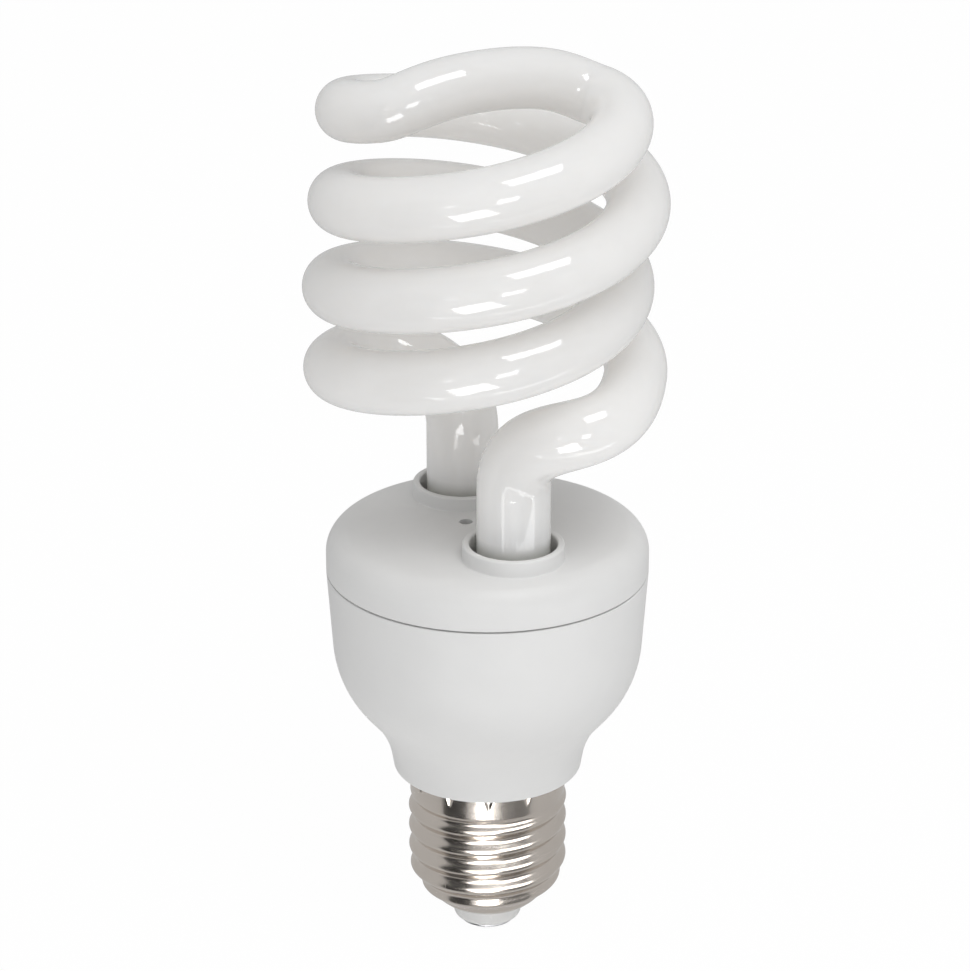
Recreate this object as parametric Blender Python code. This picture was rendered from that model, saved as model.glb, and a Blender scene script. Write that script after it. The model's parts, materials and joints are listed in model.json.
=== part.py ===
# Compact fluorescent lamp: a coiled glass tube on a two-part moulded base with a screw cap.
# The origin is the middle of the centre contact's flat foot. +Z runs up the lamp's axis, -Y is the front.
# All lengths are metres and all angles are radians.

import bpy
import bmesh
from math import acos, ceil, cos, pi, radians, sin, sqrt, tan
from mathutils import Matrix, Vector

# Fits
CLEARANCE = 0.0003
CUT_OVERRUN = 0.003
MERGE_DISTANCE = 0.000001

# Facets
TURNED_SEGMENTS = 36
CAP_SEGMENTS = 32
COLLAR_SEGMENTS = 24
SMALL_SEGMENTS = 20
COMPONENT_SEGMENTS = 10
TUBE_SIDES = 14
WIRE_SIDES = 6
ARC_STEPS = 5
THREAD_STEPS_PER_TURN = 5
COIL_STEPS_PER_TURN = 22
BEND_STEPS = 8
BRIDGE_STEPS = 6
TIP_STEPS = 3
SHARP_ANGLE = radians(35)

# Centre contact and insulator
CONTACT_RADIUS = 0.0046
CONTACT_THICKNESS = 0.0005
CONTACT_EDGE = 0.0003
CONTACT_STEM_RADIUS = 0.0014
CONTACT_STEM_HEIGHT = 0.0045
INSULATOR_NECK_RADIUS = 0.00565
INSULATOR_NECK_HEIGHT = 0.0019
INSULATOR_FOOT_RADIUS = 0.0051
INSULATOR_TOP_HEIGHT = 0.0075

# Screw cap, a thin formed shell
CAP_BOTTOM_HEIGHT = 0.0045
CAP_LENGTH = 0.0242
CAP_CREST_RADIUS = 0.01312
CAP_END_RADIUS = 0.0081
CAP_WALL = 0.0003
CAP_SHOULDER_RADIUS = 0.0077
CAP_CONE_SLANT = radians(49.3)
THREAD_PITCH = 0.003629
THREAD_DEPTH = 0.00092
THREAD_PLAIN = 0.0042
THREAD_FADE = 0.0015
THREAD_RUN_OUT = 0.0050
THREAD_TURN_SHARE = 0.563
THREAD_RIM_SHARE = 0.3

# Lower housing
HOUSING_HEIGHT = 0.0354
HOUSING_RIM_RADIUS = 0.0262
HOUSING_WALL = 0.0016
WALL_DRAFT = radians(4.0)
BOWL_SHOULDER_RADIUS = 0.0185
BOWL_SLANT = radians(40.4)
BOWL_STRAIGHT = 0.0025
NECK_FILLET_RADIUS = 0.0154
NECK_DRAFT = radians(9.5)
NECK_LENGTH = 0.0022
NECK_EDGE = 0.0005
SPIGOT_LENGTH = 0.0130
SPIGOT_WALL = 0.0013
LEDGE_WIDTH = 0.0013
LEDGE_RISE = 0.0007

# Top cover
COVER_HEIGHT = 0.0080
COVER_CROWN = 0.0010
COVER_SHOULDER = 0.0040
COVER_WALL = 0.0016
COVER_SPIGOT_LENGTH = 0.0040
COVER_SPIGOT_WALL = 0.0012
COLLAR_HEIGHT = 0.0095
COLLAR_FOOT_HEIGHT = 0.0018
COLLAR_WALL = 0.00115
COLLAR_GAP = 0.00134
COLLAR_EDGE = 0.0003
VENT_RADIUS = 0.0011
VENT_X = -0.0035
VENT_Y = 0.0008
CEMENT_TOP_HEIGHT = 0.0050
CEMENT_LENGTH = 0.0027

# Glass tube
LEG_X = 0.00412
LEG_Y = -0.01298
LEG_RADIUS = 0.00566
LEG_TOP_HEIGHT = 0.0192
LEG_STAND_OFF = 0.0055
LEG_TIP_LENGTH = 0.0040
LEG_TIP_SHARE = 0.45
COIL_TUBE_RADIUS = 0.00508
COIL_PITCH = 0.02778
COIL_START_ANGLE = radians(-7.0)
COIL_END_ANGLE = radians(489.7)
FIRST_COIL_RADIUS = 0.02395
FIRST_COIL_SHIFT = -0.00033
FIRST_COIL_FLARE = 0.0
FIRST_COIL_HEIGHT = 0.0345
SECOND_COIL_RADIUS = 0.02224
SECOND_COIL_SHIFT = 0.00091
SECOND_COIL_FLARE = 0.0012
SECOND_COIL_HEIGHT = 0.0347
BRIDGE_TUBE_RADIUS = 0.00485
BRIDGE_HEIGHT = 0.0818
BRIDGE_HEADING = radians(24.7)
KNUCKLE_RADIUS = 0.01746
KNUCKLE_ANGLE = radians(194.9)
KNUCKLE_HEIGHT = 0.0781
KNUCKLE_HEADING = radians(-25.0)
KNUCKLE_SLOPE_SHARE = 0.21
LEG_PULL_SHARE = 1.25
COIL_START_PULL_SHARE = 2.75
COIL_END_PULL_SHARE = 1.68
KNUCKLE_PULL_SHARE = 0.78
BRIDGE_PULL_SHARE = 1.90

# Ballast board and what it carries
BOARD_THICKNESS = 0.0016
CAPACITOR_RADIUS = 0.0050
CAPACITOR_LENGTH = 0.0200
CAPACITOR_GROOVE = 0.0004
CAPACITOR_GROOVE_LENGTH = 0.0012
CHOKE_CORE_LENGTH = 0.0120
CHOKE_CORE_WIDTH = 0.0120
CHOKE_CORE_THICKNESS = 0.0048
CHOKE_YOKE = 0.0022
CHOKE_OUTER_LEG = 0.0020
CHOKE_CENTRE_LEG = 0.0034
CHOKE_WINDING_HEIGHT = 0.0100
TOROID_RADIUS = 0.0045
TOROID_HOLE_RADIUS = 0.0022
TOROID_THICKNESS = 0.0040
TRANSISTOR_WIDTH = 0.0066
TRANSISTOR_THICKNESS = 0.0024
TRANSISTOR_HEIGHT = 0.0070
TRANSISTOR_NOTCH = 0.0007
DIODE_RADIUS = 0.0013
DIODE_LENGTH = 0.0046
DIODE_SPACING_X = 0.0060
DIODE_SPACING_Y = 0.0036
FUSE_RADIUS = 0.0018
FUSE_LENGTH = 0.0090
DIAC_RADIUS = 0.0010
DIAC_LENGTH = 0.0038
RESISTOR_RADIUS = 0.00115
RESISTOR_LENGTH = 0.0060
RESISTOR_SPACING = 0.0038
INDUCTOR_RADIUS = 0.0030
INDUCTOR_HEIGHT = 0.0060
INDUCTOR_WAIST = 0.0006
INDUCTOR_FLANGE = 0.0010
FILM_CAPACITOR_EDGE = 0.0006
FILM_CAPACITOR_SIZES = ((0.0100, 0.0040, 0.0080), (0.0070, 0.0035, 0.0070), (0.0090, 0.0040, 0.0080))
PIN_SIDE = 0.0009
PIN_HEIGHT = 0.0042
LEAD_RADIUS = 0.00030
LEAD_SPREAD = 0.0012
LEAD_DROP = 0.0012
WIRE_RADIUS = 0.00055
WIRE_BEND_SHARE = 0.25
LEAD_BEND_SHARE = 0.7

# Places on the board, as shares of its radius
CAPACITOR_PLACE_SHARES = (-0.20, 0.0)
CHOKE_PLACE_SHARES = (0.40, 0.0)
TOROID_PLACE_SHARES = (-0.29, 0.61)
TRANSISTOR_PLACE_SHARES = ((-0.61, -0.27), (-0.61, 0.20))
DIODE_PLACE_SHARES = (-0.10, -0.42)
FUSE_PLACE_SHARES = (0.75, 0.0)
DIAC_PLACE_SHARES = (-0.76, -0.03)
RESISTOR_PLACE_SHARES = (0.05, 0.61)
INDUCTOR_PLACE_SHARES = (-0.49, -0.55)
FILM_CAPACITOR_PLACE_SHARES = ((-0.10, -0.69), (0.37, 0.54), (0.41, -0.49))
PIN_PLACE_SHARES = ((0.57, -0.60), (-0.22, -0.72))
LIVE_LEAD_SHARES = ((0.72, -0.34), (0.66, -0.31), (0.34, -0.13), (0.15, 0.0))
NEUTRAL_LEAD_SHARES = ((0.17, -0.335), (0.17, -0.33), (0.24, -0.25))

# Sizes and heights that follow from those above
CAP_CONE_TOP_RADIUS = CAP_CREST_RADIUS - CAP_SHOULDER_RADIUS * (1 - cos(CAP_CONE_SLANT))
CAP_CONE_TOP = CAP_BOTTOM_HEIGHT + (CAP_CONE_TOP_RADIUS - CAP_END_RADIUS) / tan(CAP_CONE_SLANT)
CAP_SHOULDER_HEIGHT = CAP_CONE_TOP + CAP_SHOULDER_RADIUS * sin(CAP_CONE_SLANT)
CAP_RIM_HEIGHT = CAP_BOTTOM_HEIGHT + CAP_LENGTH
CAP_INNER_RADIUS = CAP_CREST_RADIUS - THREAD_DEPTH - CAP_WALL

NECK_BOTTOM = CAP_RIM_HEIGHT + CLEARANCE
SEAM = NECK_BOTTOM + HOUSING_HEIGHT
SHOULDER_DROP = BOWL_SHOULDER_RADIUS * (sin(BOWL_SLANT) - sin(WALL_DRAFT))
FILLET_DROP = NECK_FILLET_RADIUS * (sin(BOWL_SLANT) - sin(NECK_DRAFT))
STRAIGHT_DROP = BOWL_STRAIGHT * cos(BOWL_SLANT)
WALL_DEPTH = HOUSING_HEIGHT - SHOULDER_DROP - STRAIGHT_DROP - FILLET_DROP - NECK_LENGTH
SPIGOT_RADIUS = CAP_INNER_RADIUS - CLEARANCE
SPIGOT_BOTTOM = NECK_BOTTOM - SPIGOT_LENGTH

HOUSING_BORE_AT_SEAM = HOUSING_RIM_RADIUS - HOUSING_WALL / cos(WALL_DRAFT)
LEDGE_DEPTH = WALL_DEPTH - LEDGE_RISE
HOUSING_BORE_AT_LEDGE = HOUSING_BORE_AT_SEAM - LEDGE_DEPTH * tan(WALL_DRAFT)
BOARD_RADIUS = HOUSING_BORE_AT_LEDGE - CLEARANCE
LEDGE_RADIUS = BOARD_RADIUS - LEDGE_WIDTH
BOARD_BOTTOM = SEAM - LEDGE_DEPTH + CLEARANCE
BOARD_TOP = BOARD_BOTTOM + BOARD_THICKNESS
COMPONENT_TOP = BOARD_BOTTOM - CLEARANCE

COLLAR_BORE_RADIUS = LEG_RADIUS + COLLAR_GAP
COLLAR_RADIUS = COLLAR_BORE_RADIUS + COLLAR_WALL
COVER_SPIGOT_RADIUS = HOUSING_BORE_AT_SEAM - COVER_SPIGOT_LENGTH * tan(WALL_DRAFT) - CLEARANCE
LEG_BOTTOM = BOARD_TOP + LEG_STAND_OFF


def finish(name, colour, roughness, metallic=0.0):
    """One plain surface finish."""
    material = bpy.data.materials.new(name)
    material.use_nodes = True
    shader = material.node_tree.nodes["Principled BSDF"]
    shader.inputs["Base Color"].default_value = (*colour, 1.0)
    shader.inputs["Roughness"].default_value = roughness
    shader.inputs["Metallic"].default_value = metallic
    return material


def solid(name, shape, material):
    """Turns an edited mesh into a named object, with its round faces smooth."""
    bmesh.ops.recalc_face_normals(shape, faces=shape.faces)
    mesh = bpy.data.meshes.new(name)
    shape.to_mesh(mesh)
    shape.free()
    mesh.materials.append(material)
    mesh.shade_smooth()
    mesh.set_sharp_from_angle(angle=SHARP_ANGLE)
    thing = bpy.data.objects.new(name, mesh)
    bpy.context.scene.collection.objects.link(thing)
    return thing


def arc(centre, radius, start, end, steps=ARC_STEPS):
    """Points on an arc of an outline, its angles counted from +radius towards +height."""
    angles = [start + (end - start) * step / steps for step in range(steps + 1)]
    return [(centre[0] + radius * cos(angle), centre[1] + radius * sin(angle)) for angle in angles]


def turned(name, outline, material, segments=TURNED_SEGMENTS):
    """Spins an outline of (radius, height) points about Z. One that starts on the axis also ends there."""
    shape = bmesh.new()
    corners = [shape.verts.new((radius, 0, height)) for radius, height in outline]
    edges = [shape.edges.new(pair) for pair in zip(corners, corners[1:])]
    if outline[0][0] > 0:
        edges.append(shape.edges.new((corners[-1], corners[0])))
    bmesh.ops.spin(
        shape, geom=corners + edges, cent=(0, 0, 0), axis=(0, 0, 1), dvec=(0, 0, 0),
        angle=2 * pi, steps=segments, use_merge=True, use_duplicate=False,
    )
    bmesh.ops.remove_doubles(shape, verts=shape.verts, dist=MERGE_DISTANCE)
    return solid(name, shape, material)


def cylinder(name, radius, bottom, top, material):
    """An upright cylinder about Z."""
    return turned(name, [(0, top), (radius, top), (radius, bottom), (0, bottom)], material, SMALL_SEGMENTS)


def block(name, size, material, edge=0.0):
    """A box about its own middle, its edges bevelled where a bevel width is given."""
    shape = bmesh.new()
    bmesh.ops.create_cube(shape, size=1, matrix=Matrix.Diagonal((*size, 1)))
    if edge > 0:
        bmesh.ops.bevel(shape, geom=shape.edges, offset=edge, segments=1, affect="EDGES")
    return solid(name, shape, material)


def swept(name, line, material, sides):
    """Carries a round section along (point, radius) pairs and closes both ends."""
    shape = bmesh.new()
    points = [point for point, radius in line]
    side = Vector((1, 0, 0))
    rings = []
    for index, (point, radius) in enumerate(line):
        ahead = points[min(index + 1, len(points) - 1)]
        behind = points[max(index - 1, 0)]
        along = (ahead - behind).normalized()
        side = (side - along * side.dot(along)).normalized()
        over = along.cross(side)
        turns = [2 * pi * step / sides for step in range(sides)]
        spokes = [(side * cos(turn) + over * sin(turn)) * radius for turn in turns]
        rings.append([shape.verts.new(point + spoke) for spoke in spokes])
    for lower, upper in zip(rings, rings[1:]):
        for step in range(sides):
            shape.faces.new((lower[step - 1], lower[step], upper[step], upper[step - 1]))
    shape.faces.new(rings[0])
    shape.faces.new(rings[-1])
    return solid(name, shape, material)


def boolean(thing, tool, operation):
    """Joins a hidden tool to an object, or cuts it away."""
    tool.hide_render = True
    tool.display_type = "WIRE"
    change = thing.modifiers.new(tool.name, "BOOLEAN")
    change.operation = operation
    change.solver = "EXACT"
    change.object = tool


def on_board(shares, height=0.0):
    """A place given as shares of the board's radius, at a height above the lamp's foot."""
    return Vector((shares[0] * BOARD_RADIUS, shares[1] * BOARD_RADIUS, height))


def half_turn(point):
    """The same point on the lamp's other side."""
    return Vector((-point.x, -point.y, point.z))


# Glass tube

def curve(start, start_pull, end, end_pull, share):
    """A point on a smooth curve between two points that leave and arrive along given pulls."""
    past = 1 - share
    return (
        start * (past * past * (1 + 2 * share)) + start_pull * (past * past * share)
        + end * (share * share * (3 - 2 * share)) - end_pull * (share * share * past)
    )


def coil_point(angle, radius, flare, shift, height):
    """A point on the centre line of one coil, which starts a little wider by its flare."""
    if angle < pi:
        radius = radius + flare * (1 - angle / pi) ** 2
    rise = height + COIL_PITCH * angle / (2 * pi)
    return Vector((radius * cos(angle) + shift, radius * sin(angle), SEAM + rise))


def coil_heading(angle, radius):
    """The direction in which a coil runs at an angle."""
    return Vector((-radius * sin(angle), radius * cos(angle), COIL_PITCH / (2 * pi))).normalized()


def heading(angle, slope=0.0):
    """A direction given by its plan angle and its rise for each unit of run."""
    return Vector((cos(angle), sin(angle), slope)).normalized()


def leg_line():
    """The straight leg, from its rounded sealed tip up to the bend."""
    line = []
    for step in range(TIP_STEPS + 1):
        angle = pi / 2 * step / TIP_STEPS
        radius = LEG_RADIUS * (LEG_TIP_SHARE + (1 - LEG_TIP_SHARE) * sin(angle))
        line.append((Vector((LEG_X, LEG_Y, LEG_BOTTOM + LEG_TIP_LENGTH * (1 - cos(angle)))), radius))
    line.append((Vector((LEG_X, LEG_Y, SEAM + COLLAR_HEIGHT)), LEG_RADIUS))
    line.append((Vector((LEG_X, LEG_Y, SEAM + LEG_TOP_HEIGHT)), LEG_RADIUS))
    return line


def strand(radius, flare, shift, height):
    """Half of the tube: a leg, a bend, a coil and a bridge that ends over the lamp's axis."""
    line = leg_line()
    leg_top = line[-1][0]
    coil_start = coil_point(COIL_START_ANGLE, radius, flare, shift, height)
    reach = (coil_start - leg_top).length
    up = Vector((0, 0, reach * LEG_PULL_SHARE))
    around = coil_heading(COIL_START_ANGLE, radius) * reach * COIL_START_PULL_SHARE
    for step in range(1, BEND_STEPS):
        share = step / BEND_STEPS
        tube_radius = LEG_RADIUS + (COIL_TUBE_RADIUS - LEG_RADIUS) * share
        line.append((curve(leg_top, up, coil_start, around, share), tube_radius))
    turn = COIL_END_ANGLE - COIL_START_ANGLE
    steps = ceil(COIL_STEPS_PER_TURN * turn / (2 * pi))
    for step in range(steps + 1):
        angle = COIL_START_ANGLE + turn * step / steps
        line.append((coil_point(angle, radius, flare, shift, height), COIL_TUBE_RADIUS))
    coil_end = line[-1][0]
    knuckle = heading(KNUCKLE_ANGLE) * KNUCKLE_RADIUS + Vector((0, 0, SEAM + KNUCKLE_HEIGHT))
    knuckle_heading = heading(KNUCKLE_HEADING, KNUCKLE_SLOPE_SHARE) * KNUCKLE_PULL_SHARE
    middle = Vector((0, 0, SEAM + BRIDGE_HEIGHT))
    rise = (knuckle - coil_end).length
    away = coil_heading(COIL_END_ANGLE, radius) * rise * COIL_END_PULL_SHARE
    for step in range(1, BRIDGE_STEPS):
        share = step / BRIDGE_STEPS
        tube_radius = COIL_TUBE_RADIUS + (BRIDGE_TUBE_RADIUS - COIL_TUBE_RADIUS) * share
        line.append((curve(coil_end, away, knuckle, knuckle_heading * rise, share), tube_radius))
    span = (middle - knuckle).length
    across = heading(BRIDGE_HEADING) * span * BRIDGE_PULL_SHARE
    for step in range(BRIDGE_STEPS + 1):
        share = step / BRIDGE_STEPS
        line.append((curve(knuckle, knuckle_heading * span, middle, across, share), BRIDGE_TUBE_RADIUS))
    return line


def make_tube(glass):
    """The whole tube, whose second half is made on the first half's side and then turned about the axis."""
    first = strand(FIRST_COIL_RADIUS, FIRST_COIL_FLARE, FIRST_COIL_SHIFT, FIRST_COIL_HEIGHT)
    second = strand(SECOND_COIL_RADIUS, SECOND_COIL_FLARE, SECOND_COIL_SHIFT, SECOND_COIL_HEIGHT)
    back = [(half_turn(point), radius) for point, radius in reversed(second)]
    swept("spiral_tube", first + back[1:], glass, TUBE_SIDES)


# Moulded base

def cover_dome(plastic):
    """The cover's dome, its wall and the spigot that fits inside the housing's rim."""
    shoulder_radius = HOUSING_RIM_RADIUS - COVER_SHOULDER
    shoulder_height = SEAM + COVER_HEIGHT - COVER_CROWN - COVER_SHOULDER
    edge = SEAM + CLEARANCE / 2
    outline = []
    for step in range(ARC_STEPS):
        share = step / ARC_STEPS
        outline.append((shoulder_radius * share, SEAM + COVER_HEIGHT - COVER_CROWN * share * share))
    outline += arc((shoulder_radius, shoulder_height), COVER_SHOULDER, pi / 2, 0)
    outline += [(HOUSING_RIM_RADIUS, edge), (COVER_SPIGOT_RADIUS, edge)]
    outline.append((COVER_SPIGOT_RADIUS, SEAM - COVER_SPIGOT_LENGTH))
    bore = COVER_SPIGOT_RADIUS - COVER_SPIGOT_WALL
    outline.append((bore, SEAM - COVER_SPIGOT_LENGTH))
    inner_shoulder = COVER_SHOULDER - COVER_WALL
    outline += arc((bore - inner_shoulder, shoulder_height), inner_shoulder, 0, pi / 2)
    outline.append((0, SEAM + COVER_HEIGHT - COVER_WALL))
    return turned("top_cover", outline, plastic)


def make_cover(plastic):
    """The top cover, with a collar round each leg of the tube and a vent hole."""
    cover = cover_dome(plastic)
    foot = SEAM + COLLAR_FOOT_HEIGHT
    rim = SEAM + COLLAR_HEIGHT
    collar = [
        (COLLAR_BORE_RADIUS, foot), (COLLAR_RADIUS, foot),
        (COLLAR_RADIUS, rim - COLLAR_EDGE), (COLLAR_RADIUS - COLLAR_EDGE, rim),
        (COLLAR_BORE_RADIUS + COLLAR_EDGE, rim), (COLLAR_BORE_RADIUS, rim - COLLAR_EDGE),
    ]
    drill = COLLAR_BORE_RADIUS + COLLAR_WALL / 2
    for side in (1, -1):
        hole = cylinder(f"collar_hole_{side}", drill, foot, rim, plastic)
        hole.location = (side * LEG_X, side * LEG_Y, 0)
        boolean(cover, hole, "DIFFERENCE")
    vent = cylinder("vent_form", VENT_RADIUS, SEAM, rim, plastic)
    vent.location = (VENT_X, VENT_Y, 0)
    boolean(cover, vent, "DIFFERENCE")
    for side in (1, -1):
        ring = turned(f"collar_form_{side}", collar, plastic, COLLAR_SEGMENTS)
        ring.location = (side * LEG_X, side * LEG_Y, 0)
        boolean(cover, ring, "UNION")


def bowl_outline(inset, start_angle):
    """The housing's side, set in from its outer face, from an angle on its shoulder down to its neck."""
    shoulder_centre = (
        HOUSING_RIM_RADIUS - WALL_DEPTH * tan(WALL_DRAFT) - BOWL_SHOULDER_RADIUS * cos(WALL_DRAFT),
        SEAM - WALL_DEPTH + BOWL_SHOULDER_RADIUS * sin(WALL_DRAFT),
    )
    side = arc(shoulder_centre, BOWL_SHOULDER_RADIUS - inset, -start_angle, -BOWL_SLANT)
    across = BOWL_SHOULDER_RADIUS + NECK_FILLET_RADIUS
    fillet_centre = (
        shoulder_centre[0] + across * cos(BOWL_SLANT) - BOWL_STRAIGHT * sin(BOWL_SLANT),
        shoulder_centre[1] - across * sin(BOWL_SLANT) - BOWL_STRAIGHT * cos(BOWL_SLANT),
    )
    side += arc(fillet_centre, NECK_FILLET_RADIUS + inset, pi - BOWL_SLANT, pi - NECK_DRAFT)
    neck_radius = fillet_centre[0] - (NECK_FILLET_RADIUS + inset) / cos(NECK_DRAFT)
    neck_radius -= (fillet_centre[1] - NECK_BOTTOM) * tan(NECK_DRAFT)
    return side, shoulder_centre, neck_radius


def make_housing(plastic):
    """The lower housing: a thin bowl with a ledge for the board and a spigot inside the screw cap."""
    outer, shoulder_centre, neck_radius = bowl_outline(0.0, WALL_DRAFT)
    seat_angle = acos((LEDGE_RADIUS - shoulder_centre[0]) / (BOWL_SHOULDER_RADIUS - HOUSING_WALL))
    inner, _, neck_bore = bowl_outline(HOUSING_WALL, seat_angle)
    edge = SEAM - CLEARANCE / 2
    ledge = SEAM - LEDGE_DEPTH
    bore = SPIGOT_RADIUS - SPIGOT_WALL
    outline = [(HOUSING_RIM_RADIUS, edge)] + outer
    outline += [(neck_radius, NECK_BOTTOM + NECK_EDGE), (neck_radius - NECK_EDGE, NECK_BOTTOM)]
    outline += [(SPIGOT_RADIUS, NECK_BOTTOM), (SPIGOT_RADIUS, SPIGOT_BOTTOM), (bore, SPIGOT_BOTTOM)]
    outline += [(bore, NECK_BOTTOM + HOUSING_WALL), (neck_bore, NECK_BOTTOM + HOUSING_WALL)]
    outline += reversed(inner)
    outline += [(LEDGE_RADIUS, ledge), (HOUSING_BORE_AT_LEDGE, ledge)]
    outline.append((HOUSING_BORE_AT_SEAM, edge))
    turned("lower_housing", outline, plastic)


def make_cement(name, side, cement):
    """The ring that holds a leg of the tube in its collar."""
    inner = LEG_RADIUS + CLEARANCE
    outer = COLLAR_BORE_RADIUS - CLEARANCE
    top = SEAM + CEMENT_TOP_HEIGHT
    outline = [(inner, top), (outer, top), (outer, top - CEMENT_LENGTH), (inner, top - CEMENT_LENGTH)]
    ring = turned(name, outline, cement, SMALL_SEGMENTS)
    ring.location = (side * LEG_X, side * LEG_Y, 0)


# Screw cap, insulator and contact

def cap_envelope(height):
    """Radius of the shell's thread crests: a straight wall, a round shoulder and a cone."""
    if height >= CAP_SHOULDER_HEIGHT:
        return CAP_CREST_RADIUS
    if height >= CAP_CONE_TOP:
        drop = CAP_SHOULDER_HEIGHT - height
        return CAP_CREST_RADIUS - CAP_SHOULDER_RADIUS + sqrt(CAP_SHOULDER_RADIUS ** 2 - drop ** 2)
    return CAP_END_RADIUS + (height - CAP_BOTTOM_HEIGHT) * tan(CAP_CONE_SLANT)


def cap_radius(angle, height):
    """Outer radius of the shell, whose right-hand thread climbs one pitch each turn.

    The thread fades in below a plain rim, which lies a little inside the crests, and out over the shoulder.
    """
    below_rim = max(0, min(1, (CAP_RIM_HEIGHT - THREAD_PLAIN - height) / THREAD_FADE))
    above_cone = max(0, (height - CAP_SHOULDER_HEIGHT) / THREAD_RUN_OUT + 1)
    turns = (height - CAP_RIM_HEIGHT) / THREAD_PITCH + THREAD_TURN_SHARE
    wave = (1 - cos(2 * pi * turns - angle)) / 2
    cut_share = min(below_rim, above_cone) * wave + (1 - below_rim) * THREAD_RIM_SHARE
    return cap_envelope(height) - THREAD_DEPTH * cut_share


def make_screw_cap(metal):
    """The thin threaded shell, open at its rim and with a hole for the insulator at its foot."""
    shape = bmesh.new()
    levels = ceil(CAP_LENGTH / THREAD_PITCH * THREAD_STEPS_PER_TURN)
    heights = [CAP_RIM_HEIGHT - CAP_LENGTH * level / levels for level in range(levels + 1)]
    angles = [2 * pi * step / CAP_SEGMENTS for step in range(CAP_SEGMENTS)]
    rings = []
    for thickness, run in ((0, heights), (CAP_WALL, heights[::-1])):
        for height in run:
            ring = []
            for angle in angles:
                radius = cap_radius(angle, height) - thickness
                ring.append(shape.verts.new((radius * cos(angle), radius * sin(angle), height)))
            rings.append(ring)
    for index, lower in enumerate(rings):
        upper = rings[index - 1]
        for step in range(CAP_SEGMENTS):
            shape.faces.new((lower[step - 1], lower[step], upper[step], upper[step - 1]))
    solid("screw_cap", shape, metal)


def make_insulator(glass):
    """The insulator that fills the shell's foot and carries the centre contact."""
    fit = CAP_WALL + CLEARANCE / cos(CAP_CONE_SLANT)
    neck = INSULATOR_NECK_RADIUS
    cone_foot = CAP_BOTTOM_HEIGHT - (CAP_END_RADIUS - fit - neck) / tan(CAP_CONE_SLANT)
    foot = CONTACT_THICKNESS + CLEARANCE
    hole = CONTACT_STEM_RADIUS + CLEARANCE
    top_radius = cap_envelope(INSULATOR_TOP_HEIGHT) - fit
    outline = [(hole, INSULATOR_TOP_HEIGHT), (top_radius, INSULATOR_TOP_HEIGHT), (neck, cone_foot)]
    for step in range(ARC_STEPS + 1):
        angle = pi / 2 * step / ARC_STEPS
        radius = INSULATOR_FOOT_RADIUS + (neck - INSULATOR_FOOT_RADIUS) * cos(angle)
        outline.append((radius, INSULATOR_NECK_HEIGHT - (INSULATOR_NECK_HEIGHT - foot) * sin(angle)))
    outline.append((hole, foot))
    turned("cap_insulator", outline, glass, SMALL_SEGMENTS)


def make_contact(metal):
    """The centre contact: a flat disc with a stem up into the insulator."""
    outline = [
        (0, 0), (CONTACT_RADIUS - CONTACT_EDGE, 0), (CONTACT_RADIUS, CONTACT_EDGE),
        (CONTACT_RADIUS, CONTACT_THICKNESS), (CONTACT_STEM_RADIUS, CONTACT_THICKNESS),
        (CONTACT_STEM_RADIUS, CONTACT_STEM_HEIGHT), (0, CONTACT_STEM_HEIGHT),
    ]
    turned("centre_contact", outline, metal, SMALL_SEGMENTS)


# Ballast

def rod(name, radius, length, place, along_x, material):
    """A small round component that lies against the underside of the board."""
    half = length / 2
    outline = [(0, -half), (radius, -half), (radius, half), (0, half)]
    thing = turned(name, outline, material, COMPONENT_SEGMENTS)
    thing.rotation_euler = (0, pi / 2, 0) if along_x else (pi / 2, 0, 0)
    thing.location = (place.x, place.y, COMPONENT_TOP - radius)


def make_board(laminate):
    """The round circuit board on the housing's ledge."""
    outline = [(0, BOARD_TOP), (BOARD_RADIUS, BOARD_TOP), (BOARD_RADIUS, BOARD_BOTTOM), (0, BOARD_BOTTOM)]
    turned("ballast_board", outline, laminate)


def make_capacitor(sleeve):
    """The electrolytic capacitor, which hangs down into the neck and has a rolled groove at its foot."""
    groove_top = COMPONENT_TOP - CAPACITOR_GROOVE_LENGTH
    groove_middle = groove_top - CAPACITOR_GROOVE_LENGTH / 2
    groove_bottom = groove_top - CAPACITOR_GROOVE_LENGTH
    outline = [
        (0, COMPONENT_TOP), (CAPACITOR_RADIUS, COMPONENT_TOP), (CAPACITOR_RADIUS, groove_top),
        (CAPACITOR_RADIUS - CAPACITOR_GROOVE, groove_middle), (CAPACITOR_RADIUS, groove_bottom),
        (CAPACITOR_RADIUS, COMPONENT_TOP - CAPACITOR_LENGTH), (0, COMPONENT_TOP - CAPACITOR_LENGTH),
    ]
    capacitor = turned("electrolytic_capacitor", outline, sleeve, SMALL_SEGMENTS)
    capacitor.location = on_board(CAPACITOR_PLACE_SHARES)


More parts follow.
